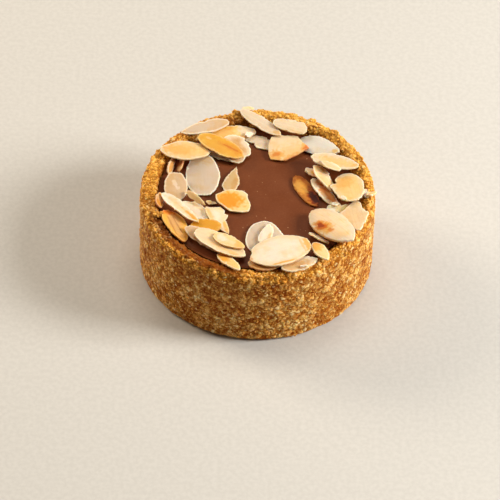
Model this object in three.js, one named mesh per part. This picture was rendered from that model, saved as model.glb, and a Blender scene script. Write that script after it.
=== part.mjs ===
// A small round tart: a cup of pressed, browned crumbs with an upright side and a lumpy rim, filled
// with set milk chocolate and topped with toasted almond flakes. Millimetres, +Z up. The origin is
// the middle of the flat base, and -Y is the front.

import * as THREE from "three";
import { ImprovedNoise } from "three/addons/math/ImprovedNoise.js";

// ---------------------------------------------------------------- driving dimensions

const TART_RADIUS = 40;
const RIM_HEIGHT = 31.6;
const RIM_WIDTH = 3.1;
const RIM_ROUNDING = 1.6;
const CHOCOLATE_LEVEL = 28;
const CHOCOLATE_RADIUS = 32.8;
const FLOOR_THICKNESS = 7;
const WALL_DRAFT = 0.6;
const WALL_GAP = 0.3;

const CRUST_SEGMENTS = 130;
const SIDE_ROWS = 13;
const CRUMB_SIZE = 2.3;
const LUMP_SIZE = 6.1;
const LUMP_SHARE = 0.6;
const SIDE_RELIEF = 0.32;
const RIM_RELIEF = 0.6;
const MOST_RELIEF = 0.4;
const FOOT_HEIGHT = 0.9;
const FOOT_BEVEL = 0.35;
const BASE_EDGE = 3;

const CHOCOLATE_SEGMENTS = 48;
const CHOCOLATE_RINGS = [0.95, 0.8, 0.55, 0.3, 0];
const MENISCUS = 0.15;
const MENISCUS_WIDTH = 0.5;
const SWELL_SIZE = 13;
const SWELL_HEIGHT = 0.18;

const FLAKE_SIDES = 18;
const FLAKE_THICKNESS = 0.9;
const FLAKE_GAP = 0.15;

// ---------------------------------------------------------------- helpers

const perlin = new ImprovedNoise();
const radians = THREE.MathUtils.degToRad;
const degrees = THREE.MathUtils.radToDeg;
const { lerp, smoothstep, euclideanModulo } = THREE.MathUtils;

// 1 at the angle `middle`, falling to nothing a good `spread` away from it, all in degrees.
function near(angle, middle, spread) {
  const away = euclideanModulo(angle - middle + 180, 360) - 180;
  return Math.exp(-((away / spread) ** 2));
}

// Smooth unevenness from about -1 to 1, with lumps of the given size.
function bumps(x, y, z, size) {
  return perlin.noise(x / size + 0.37, y / size + 0.61, z / size + 0.19);
}

function namedMesh(name, geometry, color, roughness) {
  const material = new THREE.MeshStandardMaterial({ color, roughness, metalness: 0 });
  const mesh = new THREE.Mesh(geometry, material);
  mesh.name = name;
  return mesh;
}

// A turned solid with its axis along Z. sectionAt(angle) gives its outline there as rows of
// [radius, height], from the middle of the underside, round the outside, to the middle on top.
function turned(sectionAt, segments) {
  const rows = sectionAt(0).map(([radius, height]) => new THREE.Vector2(radius, height));
  const geometry = new THREE.LatheGeometry(rows, segments);
  const position = geometry.attributes.position;
  for (let column = 0; column <= segments; column += 1) {
    const angle = (360 * (column % segments)) / segments;
    sectionAt(angle).forEach(([radius, height], row) => {
      const x = radius * Math.cos(radians(angle));
      const y = radius * Math.sin(radians(angle));
      position.setXYZ(column * rows.length + row, x, y, height);
    });
  }
  return geometry;
}

// ---------------------------------------------------------------- crust

// Along the rim, in degrees anticlockwise from +X: it stands highest at the back right, is wide on
// the left, sags along the front, and is broken off to a bevel at the front right.
const crestAt = (angle) =>
  RIM_HEIGHT + 1.3 * near(angle, 68, 45) - 0.6 * near(angle, 120, 20) - 1.4 * near(angle, 268, 50);
const widthAt = (angle) => RIM_WIDTH + 2.4 * near(angle, 180, 38) + 0.5 * near(angle, 90, 30);
const bevelAt = (angle) => 3.2 * near(angle, 312, 20) + 1.9 * near(angle, 264, 32);

// How far the crumbs stand out at a place on the side or the rim. Next to the chocolate the crust
// is smooth, so that the two stay apart.
function relief(angle, radius, height) {
  const x = radius * Math.cos(radians(angle));
  const y = radius * Math.sin(radians(angle));
  const clearOfChocolate = smoothstep(radius, CHOCOLATE_RADIUS + 0.6, CHOCOLATE_RADIUS + 2.5);
  const lumps = LUMP_SHARE * bumps(x, y, height, LUMP_SIZE);
  return clearOfChocolate * (bumps(x, y, height, CRUMB_SIZE) + lumps);
}

// The side goes in and out with the crumbs, and the rim up and down as well.
function roughSide(angle, [radius, height]) {
  const out = SIDE_RELIEF * relief(angle, radius, height);
  return [Math.min(radius + out, TART_RADIUS + MOST_RELIEF), height];
}

function roughRim(angle, [radius, height]) {
  const out = RIM_RELIEF * relief(angle, radius, height);
  return [Math.min(radius + out, TART_RADIUS + MOST_RELIEF), height + out];
}

function crustSection(angle) {
  const crest = crestAt(angle);
  const bevel = bevelAt(angle);
  const shoulder = crest - RIM_ROUNDING - 0.8 * bevel;
  const inner = TART_RADIUS - widthAt(angle);
  const wall = CHOCOLATE_RADIUS + WALL_GAP;

  const side = [];
  for (let row = 0; row <= SIDE_ROWS; row += 1) {
    const climb = row / SIDE_ROWS;
    side.push([TART_RADIUS - 0.18 * bevel * climb ** 4, lerp(FOOT_HEIGHT, shoulder, climb)]);
  }
  const rim = [
    [TART_RADIUS - 0.7 - 0.2 * bevel, crest - 0.4 - 0.45 * bevel],
    [TART_RADIUS - 1.8, crest - 0.15 * bevel],
    [inner, crest - 0.2],
    [lerp(wall, inner, 0.6), lerp(CHOCOLATE_LEVEL, crest, 0.7)],
    [wall + 0.8, CHOCOLATE_LEVEL + 0.7],
  ];
  return [
    [0, 0],
    [TART_RADIUS - BASE_EDGE, 0],
    [TART_RADIUS - FOOT_BEVEL, 0],
    ...side.map((place) => roughSide(angle, place)),
    ...rim.map((place) => roughRim(angle, place)),
    [wall, CHOCOLATE_LEVEL - 0.5],
    [wall - WALL_DRAFT, FLOOR_THICKNESS],
    [0, FLOOR_THICKNESS],
  ];
}

const crustGeometry = turned(crustSection, CRUST_SEGMENTS);

// ---------------------------------------------------------------- chocolate

// The poured top creeps up a little at its edge and has a few very shallow swells.
function chocolateSection(angle) {
  const bottom = FLOOR_THICKNESS + WALL_GAP;
  const swell = (radius) => {
    const x = radius * Math.cos(radians(angle));
    const y = radius * Math.sin(radians(angle));
    return [radius, CHOCOLATE_LEVEL + SWELL_HEIGHT * bumps(x, y, 0, SWELL_SIZE)];
  };
  return [
    [0, bottom],
    [CHOCOLATE_RADIUS - WALL_DRAFT, bottom],
    [CHOCOLATE_RADIUS, CHOCOLATE_LEVEL - 2 * MENISCUS],
    [CHOCOLATE_RADIUS - MENISCUS_WIDTH, CHOCOLATE_LEVEL + MENISCUS],
    ...CHOCOLATE_RINGS.map((part) => swell(part * CHOCOLATE_RADIUS)),
  ];
}

const chocolateGeometry = turned(chocolateSection, CHOCOLATE_SEGMENTS);

// ---------------------------------------------------------------- one almond flake

// A flake's section from the middle of its upper face, round the edge, to the middle of its lower
// face: how far out, from 0 to 1, and which part of half the thickness, from 1 to -1.
const FLAKE_SECTION = [[0, -1], [0.6, -1], [0.98, -0.72], [0.98, 0.72], [0.6, 1], [0, 1]];
const RAGGED_WAVES = 3;

// The edge of a flake in its own plane, x along its length. `point` draws the +x end in to a tip,
// each cut [direction, distance] takes off what lies beyond a straight line, and each dent
// [direction, depth, spread] pulls the edge in by a part of its reach. Directions in degrees.
function flakeEdge(flake, turn) {
  const along = Math.cos(turn);
  const tip = 1 - flake.point * ((1 + along) / 2) ** 2;
  const edge = new THREE.Vector2(flake.length * along, flake.width * Math.sin(turn) * tip);
  edge.divideScalar(2);
  const direction = degrees(Math.atan2(edge.y, edge.x));
  for (const [middle, depth, spread] of flake.dents) {
    edge.multiplyScalar(1 - depth * near(direction, middle, spread));
  }
  const [waveX, waveY] = [RAGGED_WAVES * along, RAGGED_WAVES * Math.sin(turn)];
  edge.multiplyScalar(1 + flake.ragged * bumps(waveX, waveY, flake.x, 1));
  for (const [heading, distance] of flake.cuts) {
    const across = new THREE.Vector2(1, 0).rotateAround(new THREE.Vector2(), radians(heading));
    const beyond = edge.dot(across) - distance;
    edge.addScaledVector(across, -Math.max(0, beyond));
  }
  return edge;
}

// `cup` bends the sides up, `arch` bends the ends down, `twist` winds it, all in mm at the edge,
// and `dome` thickens the middle by a part of the thickness.
function flakeGeometry(flake) {
  const geometry = turned(() => FLAKE_SECTION, FLAKE_SIDES);
  const position = geometry.attributes.position;
  for (let i = 0; i < position.count; i += 1) {
    const [x, y, side] = [position.getX(i), position.getY(i), position.getZ(i)];
    const reach = Math.hypot(x, y);
    const edge = flakeEdge(flake, Math.atan2(y, x));
    const u = (2 * edge.x * reach) / flake.length;
    const v = (2 * edge.y * reach) / flake.width;
    const bend = flake.cup * v * v - flake.arch * u * u + flake.twist * u * v;
    const half = (flake.thickness / 2) * (1 + flake.dome * (1 - reach * reach));
    position.setXYZ(i, edge.x * reach, edge.y * reach, bend + side * half);
  }
  return geometry;
}

// ---------------------------------------------------------------- laying the flakes

// The height of all that has been laid so far, on a fine square grid.
const CELL = 0.25;
const GRID_MARGIN = 4;
const CELLS = Math.ceil((2 * (TART_RADIUS + GRID_MARGIN)) / CELL);
const UPRIGHT = 1e-6;
const tops = new Float32Array(CELLS * CELLS);

const TIPPING_STEPS = [4, 2, 1];
const LEAST_DROP = 0.002;

const cellOf = (length) => Math.floor(length / CELL + CELLS / 2);
const centreOf = (cell) => (cell + 0.5 - CELLS / 2) * CELL;

// Calls visit(column, row, height) for each grid cell under each triangle of a mesh.
function scan(geometry, matrix, visit) {
  const { index } = geometry;
  const { position } = geometry.attributes;
  const [a, b, c] = [new THREE.Vector3(), new THREE.Vector3(), new THREE.Vector3()];
  for (let i = 0; i < index.count; i += 3) {
    [a, b, c].forEach((corner, k) => {
      corner.fromBufferAttribute(position, index.getX(i + k)).applyMatrix4(matrix);
    });
    const doubleArea = (b.x - a.x) * (c.y - a.y) - (c.x - a.x) * (b.y - a.y);
    if (Math.abs(doubleArea) < UPRIGHT) {
      continue;
    }
    const lastColumn = cellOf(Math.max(a.x, b.x, c.x));
    const lastRow = cellOf(Math.max(a.y, b.y, c.y));
    for (let row = cellOf(Math.min(a.y, b.y, c.y)); row <= lastRow; row += 1) {
      for (let column = cellOf(Math.min(a.x, b.x, c.x)); column <= lastColumn; column += 1) {
        const x = centreOf(column) - a.x;
        const y = centreOf(row) - a.y;
        const toB = (x * (c.y - a.y) - y * (c.x - a.x)) / doubleArea;
        const toC = (y * (b.x - a.x) - x * (b.y - a.y)) / doubleArea;
        if (toB >= 0 && toC >= 0 && toB + toC <= 1) {
          visit(column, row, a.z + toB * (b.z - a.z) + toC * (c.z - a.z));
        }
      }
    }
  }
}

// Adds a laid piece to the grid, one cell wider than it is, so that neighbours stay clear.
function addToTops(geometry, matrix) {
  scan(geometry, matrix, (column, row, height) => {
    for (let r = row - 1; r <= row + 1; r += 1) {
      for (let c = column - 1; c <= column + 1; c += 1) {
        const cell = r * CELLS + c;
        tops[cell] = Math.max(tops[cell], height);
      }
    }
  });
}

// Where the flake comes to lie when it is let down at this tilt.
function letDown(flake, geometry, pitch, roll) {
  const turn = new THREE.Euler(radians(roll), radians(-pitch), radians(flake.heading), "ZYX");
  const matrix = new THREE.Matrix4().makeRotationFromEuler(turn).setPosition(flake.x, flake.y, 0);
  let height = 0;
  scan(geometry, matrix, (column, row, z) => {
    height = Math.max(height, tops[row * CELLS + column] - z);
  });
  return { pitch, roll, turn, height: height + FLAKE_GAP };
}

// A flake that lies free tips until its middle can sink no lower: that is where it rests.
function rest(flake, geometry) {
  let best = letDown(flake, geometry, flake.pitch, flake.roll);
  for (const step of flake.propped ? [] : TIPPING_STEPS) {
    for (let tipped = true; tipped;) {
      tipped = false;
      for (const [pitch, roll] of [[step, 0], [-step, 0], [0, step], [0, -step]]) {
        const trial = letDown(flake, geometry, best.pitch + pitch, best.roll + roll);
        if (trial.height < best.height - LEAST_DROP) {
          best = trial;
          tipped = true;
        }
      }
    }
  }
  return best;
}

// ---------------------------------------------------------------- the flakes, lowest first

const CREAM = 0xf3dcb4;
const WHITE = 0xf2e6d2;
const BEIGE = 0xd9b88c;
const GREY = 0xd6c4ab;
const GOLD = 0xf0bf62;
const AMBER = 0xe9a434;
const TOASTED = 0xb9702c;

const PLAIN_FLAKE = {
  point: 0.35,
  cuts: [],
  dents: [],
  ragged: 0.05,
  thickness: FLAKE_THICKNESS,
  cup: 0,
  arch: 0,
  twist: 0,
  dome: 0,
  pitch: 0,
  roll: 0,
  propped: false,
  color: CREAM,
};

// Each flake's middle, heading of its length in degrees, and size, then what sets it apart.
const FLAKES = [
  // left
  { x: -12.5, y: 20, heading: -28, length: 14, width: 7, color: GREY },
  { x: -29.8, y: 12.6, heading: 76, length: 9, width: 4, roll: 60, propped: true, color: GOLD },
  { x: -26.6, y: 13.5, heading: 82, length: 8, width: 4.2, roll: -52, propped: true, color: BEIGE },
  { x: -19, y: 9.8, heading: 94, length: 21.5, width: 13.2, point: 0.2, color: GREY },
  { x: -8.9, y: 7.5, heading: 78, length: 12.5, width: 7.6, point: 0.85, color: GREY },
  { x: -33, y: -5.2, heading: 85, length: 9.2, width: 5, color: BEIGE },
  { x: -27.1, y: -16.1, heading: -66, length: 17, width: 10.2, cup: 0.6, color: GOLD },
  { x: -21, y: -7.8, heading: -40, length: 12, width: 8.5, cuts: [[-75, 3.4]], color: WHITE },
  {
    x: -27.9, y: 3, heading: 92, length: 14, width: 8.8, point: 0, ragged: 0.1,
    cuts: [[-4, 6.1], [180, 6.2]], color: BEIGE,
  },
  {
    x: -12.4, y: -11.9, heading: -62, length: 15, width: 8.4, point: 0.2, ragged: 0.2,
    cuts: [[165, 6.4], [74, 2.9]], color: CREAM,
  },
  { x: -17, y: -15.8, heading: -6, length: 11.4, width: 7, point: 0.15, color: AMBER },
  {
    x: -21.2, y: -3.1, heading: -45, length: 9.8, width: 3.2, arch: 0.6, roll: 50, propped: true,
    color: GOLD,
  },
  { x: -25.9, y: -9, heading: -43, length: 18.6, width: 5.6, cup: 0.5, color: CREAM },
  {
    x: -8.4, y: -3.3, heading: 0, length: 14.4, width: 13.6, point: 0, ragged: 0.03,
    cuts: [[-90, 5.1], [90, 5.8], [0, 6.4], [180, 6.3], [229, 4.6], [125, 5.5]],
    dents: [[14, 0.24, 16]],
    color: AMBER,
  },
  // front
  { x: 2.8, y: -20, heading: 92, length: 18, width: 14.5, point: 0.1, color: WHITE },
  {
    x: 3.5, y: -18.8, heading: 78, length: 11.4, width: 6.1, point: 0.5, ragged: 0.15, cuts: [[-90, 2.7]],
    color: CREAM,
  },
  { x: 3.2, y: -32.3, heading: 0, length: 12.5, width: 9, color: BEIGE },
  { x: 14.5, y: -33, heading: 24, length: 14, width: 7.5, color: BEIGE },
  {
    x: 21.5, y: -27.2, heading: -66, length: 12, width: 6.2, pitch: 12, roll: -6, propped: true,
    color: GOLD,
  },
  {
    x: 8, y: -27.7, heading: 21, length: 22.6, width: 16, point: 0.12, cuts: [[197, 10.6]],
    color: CREAM,
  },
  { x: 20.9, y: -19.7, heading: -36, length: 9, width: 5.4, roll: -38, propped: true, color: CREAM },
  { x: -15.9, y: -22.4, heading: -33, length: 19, width: 7, color: BEIGE },
  { x: -8.8, y: -32.2, heading: -50, length: 12, width: 5.5, color: GOLD },
  { x: -12, y: -24.7, heading: -30, length: 21.2, width: 9.4, point: 0.2, color: CREAM },
  { x: -9, y: -24.6, heading: -25, length: 12.4, width: 6.4, color: CREAM },
  // right
  { x: 16.3, y: 3.4, heading: -63, length: 16.8, width: 7.2, point: 0.2, color: TOASTED },
  { x: 22.9, y: 2.2, heading: -55, length: 16.5, width: 6.6, color: WHITE },
  { x: 18.1, y: 11.6, heading: -62, length: 7.6, width: 5, color: CREAM },
  { x: 22.6, y: 7.9, heading: -61, length: 13.4, width: 7.8, point: 0.4, ragged: 0.1, color: CREAM },
  { x: 28.6, y: -5.7, heading: -10, length: 11, width: 6, ragged: 0.25, color: WHITE },
  {
    x: 32.2, y: -9.9, heading: -72, length: 15.4, width: 12, point: 0.45,
    cuts: [[75, 5.6], [105, 4.7], [207, 4.4]], color: CREAM,
  },
  {
    x: 25.2, y: -15.9, heading: -48, length: 21.8, width: 12.6, point: 0.15, thickness: 1.3,
    dome: 1.3, color: CREAM,
  },
  {
    x: 30.6, y: 2.9, heading: -78, length: 16.8, width: 12.3, point: 0.1, dents: [[-138, 0.2, 12]],
    color: GOLD,
  },
  { x: 26, y: 14.3, heading: -14, length: 17.5, width: 8.6, point: 0.2, color: CREAM },
  // back
  {
    x: -0.4, y: 26.9, heading: 152, length: 12.5, width: 7.6, point: 0.5, ragged: 0.2, color: WHITE,
  },
  { x: 20.4, y: 23.8, heading: -27, length: 16.5, width: 8.4, point: 0.35, color: WHITE },
  {
    x: 10, y: 22.8, heading: 0, length: 16, width: 15.4, point: 0,
    cuts: [[-55, 4.3], [180, 7.1], [93, 5.7], [38, 5.9], [-100, 6]], color: CREAM,
  },
  { x: -8.9, y: 28.9, heading: 14, length: 17, width: 9, color: GOLD },
  { x: 0.2, y: 32.7, heading: -36, length: 18.6, width: 5.4, point: 0.1, color: CREAM },
  { x: 10.6, y: 31, heading: -12, length: 14, width: 6, point: 0, cuts: [[0, 6.2]], color: WHITE },
  {
    x: -25.1, y: 18.4, heading: 11, length: 18.8, width: 10.8, point: 0.2, cuts: [[114, 5.2]],
    color: CREAM,
  },
  {
    x: -7.9, y: 21.1, heading: -68, length: 13.8, width: 11.5, point: 0.2, cuts: [[23, 5.3]],
    color: WHITE,
  },
  { x: -18.7, y: 29.8, heading: 203, length: 18.8, width: 6.2, point: 0.4, color: BEIGE },
  { x: -13.2, y: 21.1, heading: -28, length: 18.8, width: 8, point: 0.05, color: AMBER },
];

// ---------------------------------------------------------------- assembly

const CRUST_BROWN = 0xb9793a;
const CHOCOLATE_BROWN = 0x7a4329;

const tart = new THREE.Group();
tart.add(namedMesh("crust", crustGeometry, CRUST_BROWN, 0.9));
tart.add(namedMesh("chocolate", chocolateGeometry, CHOCOLATE_BROWN, 0.45));
const upright = new THREE.Matrix4();
addToTops(crustGeometry, upright);
addToTops(chocolateGeometry, upright);

FLAKES.forEach((row, number) => {
  const flake = { ...PLAIN_FLAKE, ...row };
  const name = `almond_${String(number + 1).padStart(2, "0")}`;
  const mesh = namedMesh(name, flakeGeometry(flake), flake.color, 0.5);
  const place = rest(flake, mesh.geometry);
  mesh.position.set(flake.x, flake.y, place.height);
  mesh.rotation.copy(place.turn);
  mesh.updateMatrix();
  addToTops(mesh.geometry, mesh.matrix);
  tart.add(mesh);
});

export default tart;
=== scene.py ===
# %% [markdown]
# # A chocolate tart with almond flakes
# The tart is a cup of baked crumbs, pressed in a ring, with set milk chocolate in it and toasted
# almond flakes scattered round the top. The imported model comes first: it fixes where every piece
# is and how large it is, and each finished piece is then made around it. Everything is in metres,
# so sizes that are easier to think of in millimetres are multiplied by MM.

# %% Load the fixed frame
import math

import bmesh
import bpy
import numpy as np
from mathutils import Color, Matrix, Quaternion, Vector


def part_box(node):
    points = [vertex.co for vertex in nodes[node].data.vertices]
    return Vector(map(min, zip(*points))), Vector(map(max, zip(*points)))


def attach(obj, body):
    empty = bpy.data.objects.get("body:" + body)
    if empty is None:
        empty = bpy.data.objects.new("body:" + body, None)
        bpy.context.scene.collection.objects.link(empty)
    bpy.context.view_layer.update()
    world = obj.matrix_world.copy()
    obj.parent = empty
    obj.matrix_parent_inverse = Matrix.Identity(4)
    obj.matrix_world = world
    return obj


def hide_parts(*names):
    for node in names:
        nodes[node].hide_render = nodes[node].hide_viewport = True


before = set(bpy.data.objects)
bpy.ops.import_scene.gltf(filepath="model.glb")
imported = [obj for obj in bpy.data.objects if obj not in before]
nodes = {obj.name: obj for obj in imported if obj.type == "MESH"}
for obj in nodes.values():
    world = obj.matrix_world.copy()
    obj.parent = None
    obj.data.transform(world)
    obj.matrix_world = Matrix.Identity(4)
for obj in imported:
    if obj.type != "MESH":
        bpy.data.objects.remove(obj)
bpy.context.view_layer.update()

MM = 0.001

# %% [markdown]
# ## The view
# The photograph looks down on the tart at a little under 50 degrees, from more than a metre away
# with a long lens, so the far side looks almost as wide as the near one. A camera could be turned
# by hand until it fits. Here it is placed from four measured values instead: how far it looks
# down, how much it leans to one side, how far away it is, and the point it looks at.

# %% Place the camera
CAMERA_ELEVATION = math.radians(46.1)
CAMERA_LEAN = math.radians(1.79)
CAMERA_DISTANCE = 1095.6 * MM
CAMERA_TARGET = Vector((-2.03, 2.52, 0.0)) * MM
CAMERA_LENS = 228.2
SENSOR_WIDTH = 36.0

towards_camera = Vector((0.0, -math.cos(CAMERA_ELEVATION), math.sin(CAMERA_ELEVATION)))
bpy.ops.object.camera_add(location=CAMERA_TARGET + CAMERA_DISTANCE * towards_camera)
camera = bpy.context.object
camera.name = "camera"
camera.rotation_mode = "QUATERNION"
lean = Quaternion((0.0, 0.0, 1.0), CAMERA_LEAN)
camera.rotation_quaternion = (-towards_camera).to_track_quat("-Z", "Y") @ lean
camera.data.lens = CAMERA_LENS
camera.data.sensor_width = SENSOR_WIDTH
bpy.context.scene.camera = camera
print("camera at", [round(v / MM) for v in camera.location], "mm")

# %% [markdown]
# ## Light and floor
# The photograph has soft daylight from the right, a weaker and warmer glow from the left and a
# little light from above, so the front of the crust is the darkest side. Large area lights give
# such soft shadows: one stands on the right, one on the left and one overhead, and a warm pale
# world does the rest. The view transform is set to Standard, which keeps the colours of food as
# they were picked.

# %% Light the tart
TARGET = Vector((0.0, 0.0, 20.0)) * MM
WORLD_COLOUR = (1.0, 0.86, 0.68, 1.0)
WORLD_STRENGTH = 0.13


def add_window(name, direction, distance, size, power, colour):
    """Adds a square area light that looks at the tart from the given direction."""
    location = TARGET + Vector(direction).normalized() * distance
    bpy.ops.object.light_add(type="AREA", location=location)
    window = bpy.context.object
    window.name = name
    window.rotation_mode = "QUATERNION"
    window.rotation_quaternion = (TARGET - location).to_track_quat("-Z", "Y")
    window.data.size = size
    window.data.energy = power
    window.data.color = colour
    return window


add_window("key_window", (1.0, -0.08, 0.56), 0.9, 0.30, 11.0, (1.0, 0.985, 0.94))
add_window("side_window", (-0.87, 0.50, 0.48), 1.0, 0.4, 7.0, (1.0, 0.86, 0.68))
add_window("top_window", (0.0, 0.3, 1.0), 1.0, 0.5, 3.6, (1.0, 0.94, 0.84))

world = bpy.data.worlds.new("studio")
world.use_nodes = True
background = world.node_tree.nodes["Background"].inputs
background["Color"].default_value = WORLD_COLOUR
background["Strength"].default_value = WORLD_STRENGTH
bpy.context.scene.world = world
bpy.context.scene.view_settings.view_transform = "Standard"

# %% Lay the floor
FLOOR_SIZE = 3.0
FLOOR_DROP = 0.05 * MM

bpy.ops.mesh.primitive_plane_add(size=FLOOR_SIZE, location=(0.0, 0.0, -FLOOR_DROP))
floor = bpy.context.object
floor.name = "floor"

# %% [markdown]
# ## Helpers for making shapes
# Blender's operators act on whatever is selected, so every step starts by selecting exactly one
# piece. Inside edit mode, faces are picked by where they are and which way they look, which
# stays right when a size changes, while a list of face numbers would not.

# %% Select, edit and finish a piece


def select_only(piece):
    """Makes this piece the only selected and the active one."""
    bpy.ops.object.select_all(action="DESELECT")
    piece.select_set(True)
    bpy.context.view_layer.objects.active = piece


def start_edit(piece, mode="FACE", action="DESELECT"):
    """Opens a piece in edit mode with nothing selected or, on SELECT, all of it."""
    select_only(piece)
    bpy.ops.object.mode_set(mode="EDIT")
    bpy.ops.mesh.select_mode(type=mode)
    bpy.ops.mesh.select_all(action=action)


def end_edit():
    bpy.ops.object.mode_set(mode="OBJECT")


def pick_faces(piece, wanted):
    """Selects the faces, in edit mode, whose middle and normal pass the test."""
    mesh = bmesh.from_edit_mesh(piece.data)
    for face in mesh.faces:
        face.select_set(bool(wanted(face.calc_center_median(), face.normal)))
    bmesh.update_edit_mesh(piece.data)


def apply_modifiers(piece):
    select_only(piece)
    for modifier in list(piece.modifiers):
        bpy.ops.object.modifier_apply(modifier=modifier.name)


def settle(piece):
    """Moves the piece's place, turn and scale into its mesh."""
    select_only(piece)
    bpy.ops.object.transform_apply(location=True, rotation=True, scale=True)


def shade_smooth(piece, angle=180):
    """Smooths the shading over all edges blunter than this angle, in degrees."""
    select_only(piece)
    if angle == 180:
        bpy.ops.object.shade_smooth()
    else:
        bpy.ops.object.shade_smooth_by_angle(angle=math.radians(angle))


def copy_of_node(node, name):
    """A new piece with its own copy of a node's mesh, its loose triangles merged into quads."""
    piece = bpy.data.objects.new(name, nodes[node].data.copy())
    bpy.context.scene.collection.objects.link(piece)
    start_edit(piece, action="SELECT")
    bpy.ops.mesh.remove_doubles(threshold=0.01 * MM)
    bpy.ops.mesh.tris_convert_to_quads(face_threshold=math.radians(50), shape_threshold=math.radians(60))
    end_edit()
    piece.data.materials.clear()
    return piece


def places_of(mesh):
    """All the vertices of a mesh, as rows of x, y and z."""
    places = np.empty(len(mesh.vertices) * 3, np.float32)
    mesh.vertices.foreach_get("co", places)
    return places.reshape(-1, 3).astype(float)


def report(piece):
    sides = sum(len(face.vertices) - 2 for face in piece.data.polygons)
    print(piece.name, "has", sides, "triangles")


# %% [markdown]
# ## Helpers for making patterns
# Relief and colour both come from node trees. The same texture nodes work in geometry nodes and
# in a shader, so one pattern can first push the crumbs out and then colour the very same crumbs.
# These short helpers each add one node, or a few, and hand back its output.

# %% Add nodes


def put(tree, kind, inputs=None, **settings):
    """Adds a node. Each input is a plain value, or the output of another node."""
    node = tree.nodes.new(kind)
    for name, value in settings.items():
        setattr(node, name, value)
    for key, value in (inputs or {}).items():
        if isinstance(value, bpy.types.NodeSocket):
            tree.links.new(value, node.inputs[key])
        else:
            node.inputs[key].default_value = value
    return node


def calc(tree, operation, first, second=0.0):
    return put(tree, "ShaderNodeMath", {0: first, 1: second}, operation=operation).outputs[0]


def plus(tree, first, second):
    return calc(tree, "ADD", first, second)


def times(tree, first, second):
    return calc(tree, "MULTIPLY", first, second)


def vector_calc(tree, operation, first, second):
    """Like calc, for vectors. The second value is a vector too, but a number for SCALE."""
    inputs = {0: first, "Scale" if operation == "SCALE" else 1: second}
    return put(tree, "ShaderNodeVectorMath", inputs, operation=operation).outputs[0]


def distance(tree, x, y):
    """How far x and y are from 0, 0."""
    squares = plus(tree, times(tree, x, x), times(tree, y, y))
    return calc(tree, "SQRT", squares)


def ease(tree, value, low, high, to_low=0.0, to_high=1.0):
    """Goes softly from to_low to to_high as value goes from low to high."""
    inputs = {0: value, 1: low, 2: high, 3: to_low, 4: to_high}
    return put(tree, "ShaderNodeMapRange", inputs, interpolation_type="SMOOTHSTEP").outputs[0]


def tint(tree, share, colour, other):
    """Goes from one colour to the other as share goes from 0 to 1."""
    return put(tree, "ShaderNodeMix", {0: share, 6: colour, 7: other}, data_type="RGBA").outputs[2]


def ramp(tree, value, stops):
    """Reads a colour off a row of (position, colour) stops."""
    node = put(tree, "ShaderNodeValToRGB", {0: value})
    row = node.color_ramp.elements
    row[0].position, row[0].color = stops[0]
    row[1].position, row[1].color = stops[-1]
    for position, colour in stops[1:-1]:
        row.new(position).color = colour
    return node.outputs["Color"]


def clouds(tree, place, size, detail=2.0):
    """Smooth noise from 0 to 1, with lumps of about this size."""
    inputs = {"Vector": place, "Scale": 1.0 / size, "Detail": detail}
    return put(tree, "ShaderNodeTexNoise", inputs).outputs["Fac"]


def split(tree, vector):
    """The x, y and z of a vector."""
    return put(tree, "ShaderNodeSeparateXYZ", {0: vector}).outputs


# %% Pick colours


def paint(red, green, blue):
    """A colour as picked on a screen, from 0 to 255, in the linear values that shaders take."""
    picked = Color((red / 255, green / 255, blue / 255)).from_srgb_to_scene_linear()
    return (*picked, 1.0)


def new_finish(name, roughness, specular=0.5, glow=()):
    """A material, its tree and its shader. glow: how much light enters, how far, and its hue."""
    material = bpy.data.materials.new(name)
    material.use_nodes = True
    tree = material.node_tree
    shader = tree.nodes["Principled BSDF"]
    shader.inputs["Roughness"].default_value = roughness
    shader.inputs["Specular IOR Level"].default_value = specular
    for key, value in zip(("Weight", "Scale", "Radius"), glow):
        shader.inputs["Subsurface " + key].default_value = value
    return material, tree, shader


def object_place(tree):
    return put(tree, "ShaderNodeTexCoord").outputs["Object"]


def stored(tree, name, output="Vector"):
    """An attribute that the shaping of a piece left on its mesh."""
    return put(tree, "ShaderNodeAttribute", attribute_name=name).outputs[output]


def give_bump(tree, shader, height, distance, strength=1.0):
    inputs = {"Height": height, "Distance": distance, "Strength": strength}
    bump = put(tree, "ShaderNodeBump", inputs)
    tree.links.new(bump.outputs[0], shader.inputs["Normal"])


# %% Finish the floor
FLOOR_PALE = paint(206, 203, 198)
FLOOR_SPECKLE = paint(199, 196, 191)

floor_finish, tree, shader = new_finish("pale_floor", roughness=0.7)
speckle = clouds(tree, object_place(tree), 1.5 * MM, detail=3.0)
floor_colour = tint(tree, ease(tree, speckle, 0.3, 0.7), FLOOR_PALE, FLOOR_SPECKLE)
tree.links.new(floor_colour, shader.inputs["Base Color"])
floor.data.materials.append(floor_finish)

# %% [markdown]
# ## The crust: one pressed cup of crumbs
# The crust is a mass of biscuit and nut crumbs. Against the ring they were pressed flat, with
# small pits between them, and along the rim they lie loose and stand up. The fine shape could be
# sculpted, but thousands of crumbs need a rule. The cup's own solid is cut into faces of about
# half a millimetre, and a cell pattern then pushes each cell out as a small dome. The height
# that the side may reach is cut off, as the ring did.

# %% Cut the cup into fine faces
CHOCOLATE_EDGE = 32.8 * MM
LEFT_PLAIN = CHOCOLATE_EDGE + 0.5 * MM
FINE_CUTS = 4
SIDE_FROM = 0.6 * MM
RIM_FROM = 30.5 * MM
SMOOTHING_STEPS = 3


def outer_faces_above(height):
    """A test for the faces of the side and the rim that are higher than this."""
    return lambda middle, normal: middle.z > height and math.hypot(middle.x, middle.y) > LEFT_PLAIN


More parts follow.
